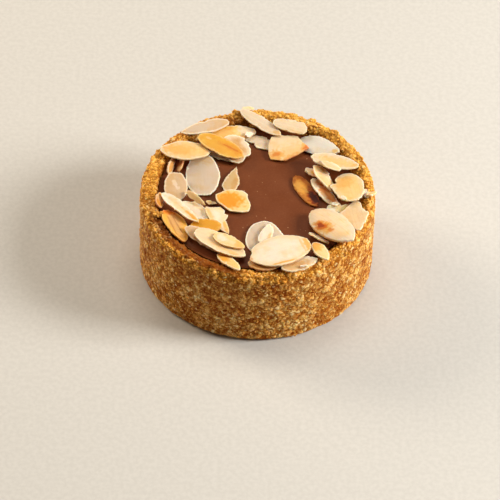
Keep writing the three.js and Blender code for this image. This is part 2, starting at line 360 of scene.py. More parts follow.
crust = copy_of_node("crust", "crumb_crust")
start_edit(crust)
pick_faces(crust, outer_faces_above(SIDE_FROM))
bpy.ops.mesh.subdivide(number_cuts=FINE_CUTS)
bpy.ops.mesh.select_all(action="DESELECT")
pick_faces(crust, outer_faces_above(RIM_FROM))
bpy.ops.mesh.subdivide(number_cuts=1)
end_edit()

smooth = crust.modifiers.new("round_off", "SMOOTH")
smooth.factor = 0.5
smooth.iterations = SMOOTHING_STEPS
apply_modifiers(crust)
report(crust)

# %% [markdown]
# The crumb pattern is three layers of Voronoi cells: clods of about 3 mm, crumbs of 1.5 mm and
# grains of less than a millimetre. Each cell is a flat-topped lump with a narrow crevice round it
# and a height of its own, so some crumbs stand out and others lie deep. The pattern reads the
# place of the surface before it was pushed, which is stored on the mesh, so that the colours find
# the same cells again. Each row below is a size, its share of the height and of the shade.

# %% Describe how crumbs pack
CRUMB_LAYERS = ((3.0 * MM, 0.42, 0.24), (1.5 * MM, 0.38, 0.36), (0.8 * MM, 0.2, 0.4))
LEAST_CRUMB = 0.4
CRUMB_WARP = 0.8
CREVICE = 0.34


def crumb_cells(tree, place, size):
    """Uneven domed cells: how high the dome is here, and two numbers of the cell's own."""
    warp = put(tree, "ShaderNodeTexNoise", {"Vector": place, "Scale": 1.3 / size, "Detail": 1.0})
    middled = vector_calc(tree, "SUBTRACT", warp.outputs["Color"], (0.5, 0.5, 0.5))
    shift = vector_calc(tree, "SCALE", middled, CRUMB_WARP * size)
    inputs = {"Vector": vector_calc(tree, "ADD", place, shift), "Scale": 1.0 / size}
    cell = put(tree, "ShaderNodeTexVoronoi", inputs)
    own = split(tree, cell.outputs["Color"])
    edge = put(tree, "ShaderNodeTexVoronoi", inputs, feature="DISTANCE_TO_EDGE").outputs["Distance"]
    rounded = ease(tree, cell.outputs["Distance"], 0.9, 0.0, 0.55, 1.0)
    dome = times(tree, ease(tree, edge, 0.0, CREVICE), rounded)
    return dome, own[0], own[1]


def crumb_height(tree, place):
    """The height of packed crumbs, from 0 to 1."""
    height = 0.0
    for size, share, _ in CRUMB_LAYERS:
        dome, own, _ = crumb_cells(tree, place, size)
        tall = ease(tree, own, 0.0, 1.0, LEAST_CRUMB * share, share)
        height = plus(tree, times(tree, dome, tall), height)
    return height


# %% Push the crumbs out
SIDE_RELIEF = 0.85 * MM
RIM_RELIEF = 1.2 * MM
PRESSED_FLAT = 0.5
MIDDLE_HEIGHT = 0.44


def shape_tree(name):
    """An empty geometry node tree, with its way in and its way out."""
    tree = bpy.data.node_groups.new(name, "GeometryNodeTree")
    tree.interface.new_socket("Geometry", in_out="INPUT", socket_type="NodeSocketGeometry")
    tree.interface.new_socket("Geometry", in_out="OUTPUT", socket_type="NodeSocketGeometry")
    return tree, put(tree, "NodeGroupInput").outputs[0]


def store(tree, shape, name, value, kind="FLOAT", domain="POINT"):
    inputs = {"Geometry": shape, "Name": name, "Value": value}
    return put(
        tree, "GeometryNodeStoreNamedAttribute", inputs, data_type=kind, domain=domain
    ).outputs[0]


def close_tree(tree, shape):
    put(tree, "NodeGroupOutput", {0: shape})


press_crumbs, shape = shape_tree("press_crumbs")
tree = press_crumbs
place = put(tree, "GeometryNodeInputPosition").outputs[0]
normal = put(tree, "GeometryNodeInputNormal").outputs[0]
x, y, z = split(tree, place)
radius = distance(tree, x, y)
loose = ease(tree, split(tree, normal)[2], 0.12, 0.5)
shape = store(tree, shape, "pressed_at", place, kind="FLOAT_VECTOR")
shape = store(tree, shape, "loose", loose)
height = crumb_height(tree, place)
flat = calc(tree, "MINIMUM", height, PRESSED_FLAT)
side_push = times(tree, calc(tree, "SUBTRACT", flat, MIDDLE_HEIGHT), SIDE_RELIEF)
rim_push = times(tree, calc(tree, "SUBTRACT", height, MIDDLE_HEIGHT), RIM_RELIEF)
push = put(tree, "ShaderNodeMix", {0: loose, 2: side_push, 3: rim_push}).outputs[0]
above_base = ease(tree, z, 0.3 * MM, 2.0 * MM)
clear_of_chocolate = ease(tree, radius, CHOCOLATE_EDGE + 0.3 * MM, CHOCOLATE_EDGE + 1.2 * MM)
push = times(tree, push, times(tree, above_base, clear_of_chocolate))
offset = vector_calc(tree, "SCALE", normal, push)
shape = put(tree, "GeometryNodeSetPosition", {"Geometry": shape, "Offset": offset}).outputs[0]
close_tree(tree, shape)
crust.modifiers.new("press_crumbs", "NODES").node_group = press_crumbs
apply_modifiers(crust)
shade_smooth(crust)
report(crust)

# %% [markdown]
# ## The colour of the crust
# Pressed crumb isn't one brown. Its ground is a moist golden brown, paler crumbs and cream oat
# and nut bits lie in it, and the pits between them are darkened with painted shade. The rim, which
# stood free in the oven, is more golden, and its crest is lightened with a painted highlight. The
# slope beside the chocolate is dark at its foot all round and higher up on two sides, partly where
# chocolate soaked into it and partly with painted shade. The colour could be painted, but a rule on
# the crumb cells gives every crumb a colour of its own: each size of cell adds its own number, some
# fine noise is added, and the sum is looked up on a ramp.

# %% Mix the crust's colours
# painted shade: the colour that the pits between crumbs are darkened towards
CRUST_PIT_SHADE = paint(118, 46, 2)
CRUST_DARK = paint(136, 62, 6)
CRUST_GROUND = paint(182, 112, 36)
CRUST_PALE_GROUND = paint(206, 142, 60)
CRUST_GOLDEN = paint(228, 168, 84)
CRUST_CREAM = paint(241, 198, 120)
CRUST_WHITE = paint(252, 226, 166)
RIM_GOLDEN = paint(250, 176, 62)
# painted highlight on the crest of the rim
CREST_HIGHLIGHT = paint(255, 196, 92)
# the darkened slope: partly soaked chocolate, partly painted shade
SLOPE_SOAK_AND_SHADE = paint(116, 54, 16)
CRUMB_STOPS = (
    (0.12, CRUST_DARK), (0.34, CRUST_GROUND), (0.5, CRUST_PALE_GROUND), (0.66, CRUST_GOLDEN),
    (0.84, CRUST_CREAM), (0.98, CRUST_WHITE),
)
CRUMB_GLOW = (1.0, 0.5, 0.2)
# sides (heading, half width in degrees) of darker slope, partly soaked chocolate, partly painted shade
SOAK_AND_SHADE_SIDES = ((228, 34), (106, 12))
CREST = (30.6 * MM, 32.0 * MM)
CREST_HIGHLIGHT_SHARE = 0.3
# where the darkened slope begins and ends, inwards, outwards and upwards
SOAK_AND_SHADE_ALL_ROUND = (35.0 * MM, 33.4 * MM)
SOAK_AND_SHADE_OUT_TO = (38.8 * MM, 37.8 * MM)
SOAK_AND_SHADE_UP_TO = (33.0 * MM, 31.6 * MM)


def crust_colour(tree, place, loose):
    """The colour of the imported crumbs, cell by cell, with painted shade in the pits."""
    shade = ease(tree, clouds(tree, place, 7.0 * MM), 0.3, 0.7, -0.08, 0.08)
    for size, _, say in CRUMB_LAYERS:
        own = crumb_cells(tree, place, size)[1]
        shade = plus(tree, times(tree, own, say), shade)
    fine = ease(tree, clouds(tree, place, 0.5 * MM, detail=3.0), 0.25, 0.75, -0.22, 0.22)
    shade = plus(tree, shade, fine)
    colour = ramp(tree, shade, CRUMB_STOPS)
    colour = tint(tree, times(tree, loose, 0.6), colour, RIM_GOLDEN)
    crumb, _, crumb_other = crumb_cells(tree, place, CRUMB_LAYERS[1][0])
    oat = times(tree, ease(tree, crumb_other, 0.9, 0.95), ease(tree, crumb, 0.3, 0.6))
    colour = tint(tree, times(tree, oat, 0.7), colour, CRUST_WHITE)
    # painted shade: the low places between crumbs are darkened, a little more on the rim
    pit_shade = ease(tree, crumb_height(tree, place), 0.36, 0.08)
    deep = ease(tree, loose, 0.0, 1.0, 0.55, 0.65)
    return tint(tree, times(tree, pit_shade, deep), colour, CRUST_PIT_SHADE)


def soak_and_shade_share(tree, place):
    """1 where the slope is darkened, partly soaked chocolate and partly painted shade; 0 elsewhere."""
    x, y, z = split(tree, place)
    radius = distance(tree, x, y)
    share = ease(tree, radius, *SOAK_AND_SHADE_ALL_ROUND)
    for heading, half_width in SOAK_AND_SHADE_SIDES:
        sideways = times(tree, x, math.cos(math.radians(heading)))
        forwards = times(tree, y, math.sin(math.radians(heading)))
        inside = calc(tree, "DIVIDE", plus(tree, sideways, forwards), radius)
        edge = math.cos(math.radians(half_width))
        side = ease(tree, inside, edge - 0.08, edge + 0.08)
        wander = ease(tree, clouds(tree, place, 3.0 * MM), 0.3, 0.7, -0.6 * MM, 0.6 * MM)
        slope = ease(tree, plus(tree, radius, wander), *SOAK_AND_SHADE_OUT_TO)
        share = calc(tree, "MAXIMUM", share, times(tree, side, slope))
    return times(tree, share, ease(tree, z, *SOAK_AND_SHADE_UP_TO))


def soak_shade_and_crest_highlight(tree, colour, darkened):
    """Adds the dark slope, soaked chocolate and painted shade, and a painted highlight on the crest."""
    place = object_place(tree)
    # partly soaked chocolate and partly painted shade on the slope
    soak_and_shade = times(tree, soak_and_shade_share(tree, place), darkened)
    colour = tint(tree, soak_and_shade, colour, SLOPE_SOAK_AND_SHADE)
    # painted highlight: the crest of the rim is lightened
    crest_highlight = times(tree, ease(tree, split(tree, place)[2], *CREST), CREST_HIGHLIGHT_SHARE)
    return tint(tree, crest_highlight, colour, CREST_HIGHLIGHT)


# %% Finish the crust
crust_finish, tree, shader = new_finish("baked_crumb", 0.42, 0.08, (0.25, 1.2 * MM, CRUMB_GLOW))
place = stored(tree, "pressed_at")
loose = stored(tree, "loose", "Fac")
colour = soak_shade_and_crest_highlight(tree, crust_colour(tree, place, loose), 0.85)
tree.links.new(colour, shader.inputs["Base Color"])
height = crumb_height(tree, place)
tree.links.new(ease(tree, height, 0.25, 0.55, 0.03, 0.45), shader.inputs["Specular IOR Level"])
fine = plus(tree, height, clouds(tree, place, 0.25 * MM))
give_bump(tree, shader, fine, 0.16 * MM, 0.6)
crust.data.materials.append(crust_finish)
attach(crust, "root")
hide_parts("crust")

# %% [markdown]
# ## Crumbs that stand out
# The relief alone looks like stone, because real crumbs have corners and shadows under them. So
# three kinds of small crumb are modelled once each and scattered over the crust: fine grains,
# pale flat oat flecks, and nut bits, nearly all on the rim. They could be placed as particles, but
# only real mesh is kept with the model, so geometry nodes scatter the copies and make them real.

# %% Model one crumb of each kind


def model_crumb(name, steps, size, roughen, seed):
    """A jagged lump: a ball of triangles, flattened to size, with its corners pulled about."""
    bpy.ops.mesh.primitive_ico_sphere_add(subdivisions=steps, radius=0.5 * MM)
    crumb = bpy.context.object
    crumb.name = name
    start_edit(crumb, "VERT", "SELECT")
    bpy.ops.transform.vertex_random(offset=roughen * MM, seed=seed)
    bpy.ops.transform.resize(value=size)
    end_edit()
    return crumb


grain = model_crumb("one_grain", 1, (1.0, 0.8, 0.75), 0.12, 3)
fleck = model_crumb("one_fleck", 2, (1.0, 0.62, 0.32), 0.07, 5)
nut_bit = model_crumb("one_nut_bit", 2, (1.0, 0.85, 0.75), 0.12, 8)

# %% Scatter crumbs over a piece
MOST_LEAN = 0.35
CRUMB_EDGE = 55


def random_vector(tree, low, high, seed):
    inputs = {0: low, 1: high, "Seed": seed}
    return put(tree, "FunctionNodeRandomValue", inputs, data_type="FLOAT_VECTOR").outputs[0]


def on_crust(tree, place, rim_share, side_share):
    """The share of crumbs kept: some on the side, some on the rim, none near the chocolate."""
    x, y, z = split(tree, place)
    clear = ease(tree, distance(tree, x, y), CHOCOLATE_EDGE + 0.8 * MM, CHOCOLATE_EDGE + 1.4 * MM)
    loose = put(tree, "GeometryNodeInputNamedAttribute", {0: "loose"}, data_type="FLOAT").outputs[0]
    share = ease(tree, loose, 0.2, 0.8, side_share, rim_share)
    share = times(tree, share, ease(tree, z, 0.5 * MM, 0.9 * MM))
    share = times(tree, share, ease(tree, soak_and_shade_share(tree, place), 0.0, 1.0, 1.0, 0.3))
    return times(tree, share, clear)


def scatter(name, crumb, gap, sizes, sunk, shares, seed):
    """A piece of crumbs no closer than gap, with these shares kept on the rim and on the side."""
    piece = crust.copy()
    piece.data = crust.data.copy()
    piece.name = name
    for key in [k for k in piece.keys() if k.startswith("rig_")]:
        del piece[key]
    piece.parent = None
    bpy.context.scene.collection.objects.link(piece)
    tree, shape = shape_tree(name)
    inputs = {"Mesh": shape, "Distance Min": gap, "Density Max": 1.2 / gap**2, "Seed": seed}
    spots = put(tree, "GeometryNodeDistributePointsOnFaces", inputs, distribute_method="POISSON")
    place = put(tree, "GeometryNodeInputPosition").outputs[0]
    tree.links.new(on_crust(tree, place, *shares), spots.inputs["Density Factor"])
    inwards = vector_calc(tree, "SCALE", spots.outputs["Normal"], -sunk)
    inputs = {"Geometry": spots.outputs["Points"], "Offset": inwards}
    points = put(tree, "GeometryNodeSetPosition", inputs).outputs[0]
    most = Vector((MOST_LEAN, MOST_LEAN, math.pi))
    turn = random_vector(tree, -most, most, seed + 1)
    turn = put(tree, "FunctionNodeEulerToRotation", {0: turn}).outputs[0]
    inputs = {"Rotation": spots.outputs["Rotation"], "Rotate By": turn}
    turn = put(tree, "FunctionNodeRotateRotation", inputs, rotation_space="LOCAL").outputs[0]
    size = random_vector(tree, *sizes, seed + 2)
    model = put(tree, "GeometryNodeObjectInfo", {"Object": crumb}).outputs["Geometry"]
    inputs = {"Points": points, "Instance": model, "Rotation": turn, "Scale": size}
    crumbs = put(tree, "GeometryNodeInstanceOnPoints", inputs).outputs[0]
    own = put(tree, "FunctionNodeRandomValue", {2: 0.0, 3: 1.0, "Seed": seed + 3}).outputs[1]
    crumbs = store(tree, crumbs, "own", own, domain="INSTANCE")
    crumbs = put(tree, "GeometryNodeRealizeInstances", {"Geometry": crumbs}).outputs[0]
    close_tree(tree, crumbs)
    piece.modifiers.new("scatter", "NODES").node_group = tree
    apply_modifiers(piece)
    shade_smooth(piece, CRUMB_EDGE)
    piece.data.materials.clear()
    report(piece)
    return piece


CRUMBS = (
    ("crust_grains", grain, 0.8 * MM, ((0.5, 0.5, 0.5), (1.3, 1.3, 1.2)), 0.16 * MM, (1.0, 0.3), 11),
    ("oat_flecks", fleck, 1.6 * MM, ((0.8, 0.8, 0.8), (2.3, 2.1, 1.4)), 0.19 * MM, (0.35, 0.5), 31),
    ("rim_nut_bits", nut_bit, 1.4 * MM, ((0.9, 0.9, 0.9), (2.2, 2.0, 1.8)), 0.5 * MM, (0.75, 0.04), 51),
)
grains, flecks, nut_bits = [scatter(*row) for row in CRUMBS]
for model in (grain, fleck, nut_bit):
    bpy.data.objects.remove(model)

# %% Colour the crumbs


def crumb_finish(name, stops, roughness):
    """Each crumb takes its own place on a row of colours, and is a little uneven in itself."""
    material, tree, shader = new_finish(name, roughness, 0.3, (0.3, 1.0 * MM, CRUMB_GLOW))
    place = object_place(tree)
    uneven = ease(tree, clouds(tree, place, 0.8 * MM), 0.3, 0.7, -0.1, 0.1)
    share = plus(tree, stored(tree, "own", "Fac"), uneven)
    # the crumbs get the crust's darkened slope and its painted crest highlight
    colour = soak_shade_and_crest_highlight(tree, ramp(tree, share, stops), 0.8)
    tree.links.new(colour, shader.inputs["Base Color"])
    give_bump(tree, shader, clouds(tree, place, 0.3 * MM), 0.1 * MM, 0.6)
    return material


GRAIN_STOPS = ((0.0, CRUST_GROUND), (0.4, RIM_GOLDEN), (0.8, CRUST_GOLDEN), (1.0, CRUST_CREAM))
FLECK_STOPS = ((0.0, CRUST_GROUND), (0.5, CRUST_GOLDEN), (0.85, CRUST_CREAM), (1.0, CRUST_WHITE))
NUT_STOPS = ((0.0, CRUST_PALE_GROUND), (0.35, RIM_GOLDEN), (0.7, CRUST_GOLDEN), (1.0, CRUST_CREAM))
for piece, stops, roughness in (
    (grains, GRAIN_STOPS, 0.45), (flecks, FLECK_STOPS, 0.4), (nut_bits, NUT_STOPS, 0.4)
):
    piece.data.materials.append(crumb_finish(piece.name + "_finish", stops, roughness))
    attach(piece, "root")

# %% [markdown]
# ## The chocolate
# Milk chocolate was poured in, levelled itself, crept a little up the crumbs and set with a satin
# skin. A flat disc would look like plastic. So the disc gets rings of faces, which very shallow
# swells can move, and its edge is drawn up and out until it reaches just into the crust.

# %% Pour the chocolate
low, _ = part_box("chocolate")
CHOCOLATE_SIDES = 240
CHOCOLATE_TOP = 28.0 * MM
POURED_RADIUS = CHOCOLATE_EDGE - 0.7 * MM
CREEP_OUT = 0.9 * MM
CREEP_UP = 0.75 * MM
CREEP_STEPS = 3
CREEP_WIDTHS = (0.35 * MM, 0.5 * MM)
CREEP_DOWN = -0.45 * CREEP_UP
RING_WIDTH = 0.8 * MM
RING_COUNT = 40

bpy.ops.mesh.primitive_cylinder_add(
    vertices=CHOCOLATE_SIDES, radius=POURED_RADIUS, depth=CHOCOLATE_TOP - low.z,
    location=(0.0, 0.0, (CHOCOLATE_TOP + low.z) / 2), end_fill_type="NGON",
)
chocolate = bpy.context.object
chocolate.name = "milk_chocolate"
start_edit(chocolate)
pick_faces(chocolate, lambda middle, normal: normal.z > 0.9)
wider = ((CHOCOLATE_EDGE + CREEP_OUT) / POURED_RADIUS) ** (1 / CREEP_STEPS)
step_up = {"value": (0.0, 0.0, CREEP_UP / CREEP_STEPS)}
for _ in range(CREEP_STEPS):
    bpy.ops.mesh.extrude_region_move(TRANSFORM_OT_translate=step_up)
    bpy.ops.transform.resize(value=(wider, wider, 1.0), center_override=(0.0, 0.0, 0.0))
for width in CREEP_WIDTHS:
    bpy.ops.mesh.inset(thickness=width)
    bpy.ops.transform.translate(value=(0.0, 0.0, CREEP_DOWN))
for _ in range(RING_COUNT):
    bpy.ops.mesh.inset(thickness=RING_WIDTH)
bpy.ops.mesh.poke()
end_edit()
settle(chocolate)
report(chocolate)

# %% Let it set unevenly
SWELL = 0.22 * MM
RIPPLE = 0.05 * MM
CHOCOLATE_CREASE = 40


def displace(piece, name, size, strength, direction="NORMAL", group=""):
    """Adds a Displace modifier that reads a cloud texture of this size on the piece's own place."""
    texture = bpy.data.textures.new(name, "CLOUDS")
    texture.noise_scale = size
    modifier = piece.modifiers.new(name, "DISPLACE")
    modifier.texture = texture
    modifier.texture_coords = "LOCAL"
    modifier.direction = direction
    modifier.strength = strength
    modifier.vertex_group = group
    return modifier


displace(chocolate, "swells", 14.0 * MM, SWELL, "Z")
displace(chocolate, "ripples", 3.0 * MM, RIPPLE, "Z")
apply_modifiers(chocolate)
shade_smooth(chocolate, CHOCOLATE_CREASE)

# %% Finish the chocolate
CHOCOLATE = paint(112, 58, 28)
CHOCOLATE_DEEP = paint(106, 53, 24)
CHOCOLATE_BLOOM = paint(136, 80, 46)
CHOCOLATE_SPECK = paint(214, 164, 118)

chocolate_finish, tree, shader = new_finish("set_chocolate", roughness=0.42, specular=0.22)
place = object_place(tree)
cloudy = clouds(tree, place, 9.0 * MM, detail=3.0)
colour = tint(tree, ease(tree, cloudy, 0.3, 0.7), CHOCOLATE_DEEP, CHOCOLATE)
mottle = clouds(tree, place, 0.7 * MM)
colour = tint(tree, ease(tree, mottle, 0.45, 0.8, 0.0, 0.25), colour, CHOCOLATE_BLOOM)
specks = put(tree, "ShaderNodeTexVoronoi", {"Vector": place, "Scale": 1.0 / (1.5 * MM)})
rare = ease(tree, split(tree, specks.outputs["Color"])[0], 0.72, 0.95)
speck = times(tree, ease(tree, specks.outputs["Distance"], 0.17, 0.07), rare)
colour = tint(tree, times(tree, speck, 0.75), colour, CHOCOLATE_SPECK)
tree.links.new(colour, shader.inputs["Base Color"])
tree.links.new(ease(tree, cloudy, 0.3, 0.7, 0.38, 0.48), shader.inputs["Roughness"])
skin = plus(tree, clouds(tree, place, 0.5 * MM), times(tree, speck, 1.5))
give_bump(tree, shader, skin, 0.03 * MM, 0.6)
chocolate.data.materials.append(chocolate_finish)
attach(chocolate, "root")
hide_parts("chocolate")

# %% [markdown]
# ## The almond flakes
# Each flake is a thin slice of a blanched almond: smooth, waxy, a little wavy, with soft edges
# that chip. The solids give each flake its place, tilt and outline, so a copy of each is rounded
# by subdivision and then made uneven: a slow wave bends the whole slice, and a finer noise nibbles
# at its edge. Its own directions, along, across and up, are worked out from its points, because
# fibres and toasting follow the slice and not the room.

# %% Measure a flake
EDGE_POINTS = 120


def own_directions(places):
    """A flake's middle, and rows that point along it, across it and out of its upper face."""
    middle = (places.min(axis=0) + places.max(axis=0)) / 2
    along, across, up = np.linalg.svd(places - places.mean(axis=0), full_matrices=False)[2]
    up = up if up[2] > 0 else -up
    along = along if along[0] > 0 else -along
    return middle, np.array((along, np.cross(up, along), up))


def outline_of(flat):
    """The farthest point out in each direction, but for those well inside their neighbours."""
    direction = (np.arctan2(flat[:, 1], flat[:, 0]) / (2 * np.pi) * EDGE_POINTS).astype(int) % EDGE_POINTS
    order = np.argsort(np.hypot(flat[:, 0], flat[:, 1]))
    farthest = np.zeros(EDGE_POINTS, int)
    farthest[direction[order]] = order
    outline = flat[farthest[np.unique(direction)], :2]
    reach = np.hypot(outline[:, 0], outline[:, 1])
    usual = np.median([np.roll(reach, step) for step in range(-4, 5)], axis=0)
    return outline[reach > 0.88 * usual]


def from_edge(flat):
    """How far each point is from the flake's outline."""
    away = flat[:, None, :2] - outline_of(flat)[None, :, :]
    return np.sqrt((away**2).sum(axis=2).min(axis=1))


def write_point_values(mesh, name, kind, values):
    """Leaves values on a mesh, one for each vertex, for its finish to read."""
    attribute = mesh.attributes.new(name, kind, "POINT")
    field = "vector" if kind == "FLOAT_VECTOR" else "value"
    attribute.data.foreach_set(field, np.asarray(values, np.float32).ravel())


# %% [markdown]
# Almond slices break in short straight steps, so an outline that is only smooth looks cut from
# card. Each flake's outline is first drawn in and out by a broken line round it, which fades
# towards its middle. Some slices get a corner of their own, where a larger piece has come away.
# Then a slow wave bends the whole slice, and a fine noise roughens its edge. The rows go by a
# flake's number: how deep its edge is broken in millimetres, and for each corner its heading and
# half width in degrees, with its length in millimetres between them.

# %% Break a flake's edge
PLAIN_BREAK = 0.55
BREAKS = {
    4: 0.35, 8: 0.9, 9: 0.8, 10: 1.1, 14: 0.3, 16: 0.7, 20: 0.3, 22: 0.8, 28: 0.8, 29: 0.9,
    30: 1.4, 33: 0.6, 35: 0.9, 37: 0.3, 42: 0.7,
}
CORNERS = {
    5: ((78, 0.9, 22),), 8: ((150, 1.0, 30),), 10: ((35, 1.0, 25), (135, 0.8, 25)),
    20: ((188, -1.0, 14), (205, 0.6, 20)), 22: ((150, 0.8, 20),),
    31: ((0, 0.7, 18), (-70, 0.9, 18), (60, 0.6, 16)),
    33: ((150, -1.6, 12), (172, 0.8, 16), (-40, 0.4, 25)), 35: ((170, 1.2, 20), (205, -0.8, 14)),
    37: ((125, 0.5, 20),), 40: ((18, 0.7, 16), (-38, 0.7, 16)),
    42: ((-100, 0.8, 24), (-62, 0.5, 20)),
}
FIRMNESS = 0.42


def break_edge(flake, middle, directions, rng, depth, corners):
    """Draws the outline in by a broken line, and out or in at the flake's own corners."""
    flat = (places_of(flake.data) - middle) @ directions.T
    radius = np.hypot(flat[:, 0], flat[:, 1])
    angle = np.arctan2(flat[:, 1], flat[:, 0])
    knots = np.sort(rng.uniform(-np.pi, np.pi, int(rng.integers(14, 21))))
    depths = depth * MM * rng.uniform(0.0, 1.0, len(knots)) ** 1.5
    shift = -np.interp(angle, knots, depths, period=2 * np.pi)
    for heading, length, spread in corners:
        heading = math.radians(heading)
        towards = directions[:2, :2] @ (math.cos(heading), math.sin(heading))
        turn = np.abs((angle - math.atan2(towards[1], towards[0]) + np.pi) % (2 * np.pi) - np.pi)
        shift += length * MM * np.maximum(0.0, 1.0 - turn / math.radians(spread))
    edge = from_edge(flat)
    share = np.clip((1.0 - edge / edge.max() - FIRMNESS) / (1.0 - FIRMNESS), 0.0, 1.0)
    flat[:, :2] *= (1.0 + shift * share / np.maximum(radius, 1.0 * MM))[:, None]
    flake.data.vertices.foreach_set("co", (flat @ directions + middle).astype(np.float32).ravel())


# %% Round and roughen a flake
RIM_CREASE = 0.8
THINNED = 0.1 * MM
WAVE = 0.35 * MM
NIBBLE = 0.36 * MM
NIBBLED_WIDTH = 0.7 * MM


def round_and_roughen(flake, levels, seed, depth, corners=()):
    """Rounds a plain slice, breaks its edge, thins it a little, bends it and nibbles at it."""
    start_edit(flake, "EDGE")
    bpy.ops.mesh.edges_select_sharp(sharpness=math.radians(35))
    bpy.ops.transform.edge_crease(value=RIM_CREASE)
    end_edit()
    rounding = flake.modifiers.new("round", "SUBSURF")
    rounding.levels = levels
    rounding.render_levels = levels
    apply_modifiers(flake)
    middle, directions = own_directions(places_of(flake.data))
    break_edge(flake, middle, directions, np.random.default_rng(seed), depth, corners)
    edge = from_edge((places_of(flake.data) - middle) @ directions.T)
    group = flake.vertex_groups.new(name="edge")
    for index in np.flatnonzero(edge < NIBBLED_WIDTH):
        group.add([int(index)], 1.0 - edge[index] / NIBBLED_WIDTH, "REPLACE")
    start_edit(flake, action="SELECT")
    bpy.ops.transform.shrink_fatten(value=-THINNED)
    end_edit()
    displace(flake, "wave", 6.0 * MM, WAVE, "Z")
    displace(flake, "nibble", 0.8 * MM, NIBBLE, "NORMAL", "edge")
    apply_modifiers(flake)
    flake.vertex_groups.clear()
    flat = (places_of(flake.data) - middle) @ directions.T
    write_point_values(flake.data, "in_flake", "FLOAT_VECTOR", flat)
    write_point_values(flake.data, "from_edge", "FLOAT", from_edge(flat))
    shade_smooth(flake)


flakes = {}
for seed, node in enumerate(sorted(n for n in nodes if n.startswith("almond"))):
    number = int(node[-2:])
    flake = copy_of_node(node, node.replace("almond", "flake"))
    round_and_roughen(flake, 3, seed, BREAKS.get(number, PLAIN_BREAK), CORNERS.get(number, ()))
    flakes[number] = flake
report(flakes[20])

# %% [markdown]
# ## The colours of toasted almond
# A raw slice is cream white and lets some light through. Toasting turns it golden from its thin
# parts and oily middle outwards, and browns it in spots where it touched the tray. So each flake
# has a heart and a margin colour, faint fibres along its length, a pale cut edge that is partly a
# painted highlight, and a few spots of its own, each an ellipse with a soft frayed edge. Its
# underside and lower edge get a painted golden glow, for the light that reaches them only through
# the slice. Toast is a glaze over the almond, so a toasted spot multiplies the colour below: thin
# toast then looks golden and not pink.

# %% Mix the almond colours
ALMOND_GLOW = (1.0, 0.65, 0.35)

BLANCHED = paint(250, 238, 212)
MILK = paint(231, 223, 213)
WHITE = paint(234, 218, 197)
# pale cut edge, partly a painted highlight
CUT_EDGE_AND_HIGHLIGHT = paint(246, 234, 214)
PALE = paint(222, 201, 174)
CREAM = paint(232, 205, 167)
BUTTER = paint(234, 201, 144)
BEIGE = paint(208, 176, 138)
GREIGE = paint(203, 183, 162)
HONEY = paint(204, 164, 114)
GOLD = paint(232, 180, 84)
AMBER = paint(226, 188, 84)
TOASTED = paint(196, 128, 48)
BROWNED = paint(160, 92, 34)

# toast, lightest to darkest; a few also serve painted shadows and the painted glow under flakes
STRAW = paint(252, 232, 180)
GILT = paint(248, 208, 112)
COPPER = paint(232, 156, 52)
SCORCH = paint(172, 92, 34)
CHAR = paint(92, 44, 26)


def glaze(tree, share, colour, over):
    """Lays a see-through colour over another one, as strongly as share."""
    inputs = {0: share, 6: colour, 7: over}
    return put(tree, "ShaderNodeMix", inputs, data_type="RGBA", blend_type="MULTIPLY").outputs[2]


def spot_share(tree, place, x, y, length, width, heading, strength):
    """How much of a spot lies here: an ellipse at x, y on the tart, in millimetres."""
    inputs = {
        "Vector": object_place(tree),
        "Location": (x * MM, y * MM, 0.0),
        "Rotation": (0.0, 0.0, math.radians(heading)),
        "Scale": (length * MM / 2, width * MM / 2, 1.0),
    }
    sides = split(tree, put(tree, "ShaderNodeMapping", inputs, vector_type="TEXTURE").outputs[0])
    frayed = ease(tree, clouds(tree, place, 1.3 * MM), 0.25, 0.75, -0.28, 0.28)
    away = plus(tree, distance(tree, sides[0], sides[1]), frayed)
    return ease(tree, away, 1.2, 0.55, 0.0, strength)


def almond_finish(name, heart, margin, width=1.5, rim=0.45, gloss=0.46, grain=1.0, toasts_and_shadows=(), pales_and_highlights=()):
    """A slice with its heart and margin, the margin's width in millimetres, and its spots."""
    material, tree, shader = new_finish(name, gloss, 0.25, (0.6, 1.1 * MM, ALMOND_GLOW))
    place = stored(tree, "in_flake")
    edge = stored(tree, "from_edge", "Fac")
    wander = ease(tree, clouds(tree, place, 4.0 * MM), 0.25, 0.75, -0.9 * MM, 0.9 * MM)
    inwards = ease(tree, plus(tree, edge, wander), (width - 1.0) * MM, (width + 1.6) * MM)
    colour = tint(tree, inwards, margin, heart)
    mottle = clouds(tree, place, 4.5 * MM, detail=3.0)
    colour = glaze(tree, ease(tree, mottle, 0.45, 0.75, 0.0, 0.5), colour, STRAW)
    stretched = vector_calc(tree, "MULTIPLY", place, (0.16, 1.5, 1.0))
    fibres = clouds(tree, stretched, 1.1 * MM, detail=3.0)
    colour = tint(tree, ease(tree, fibres, 0.5, 0.8, 0.0, 0.22 * grain), colour, margin)
    colour = glaze(tree, ease(tree, fibres, 0.47, 0.2, 0.0, 0.5 * grain), colour, STRAW)
    # toasts, and a few painted shadows, glazed over the almond
    for spot_colour, *spot in toasts_and_shadows:
        colour = glaze(tree, spot_share(tree, place, *spot), colour, spot_colour)
    # pale spots, and a few painted highlights
    for spot_colour, *spot in pales_and_highlights:
        colour = tint(tree, spot_share(tree, place, *spot), colour, spot_colour)
    # pale cut edge along the rim, partly a painted highlight
    colour = tint(tree, ease(tree, edge, 0.7 * MM, 0.15 * MM, 0.0, rim), colour, CUT_EDGE_AND_HIGHLIGHT)
    # painted glow: the underside and lower edge turn golden, as if lit through the slice
    underside_glow = ease(tree, split(tree, place)[2], 0.1 * MM, -0.4 * MM, 0.0, 0.75)
    colour = glaze(tree, underside_glow, colour, GILT)
    tree.links.new(colour, shader.inputs["Base Color"])
    pores = clouds(tree, place, 0.35 * MM)
    height = plus(tree, times(tree, fibres, 2.0 * grain), pores)
    give_bump(tree, shader, height, 0.06 * MM, 0.6)
    return material
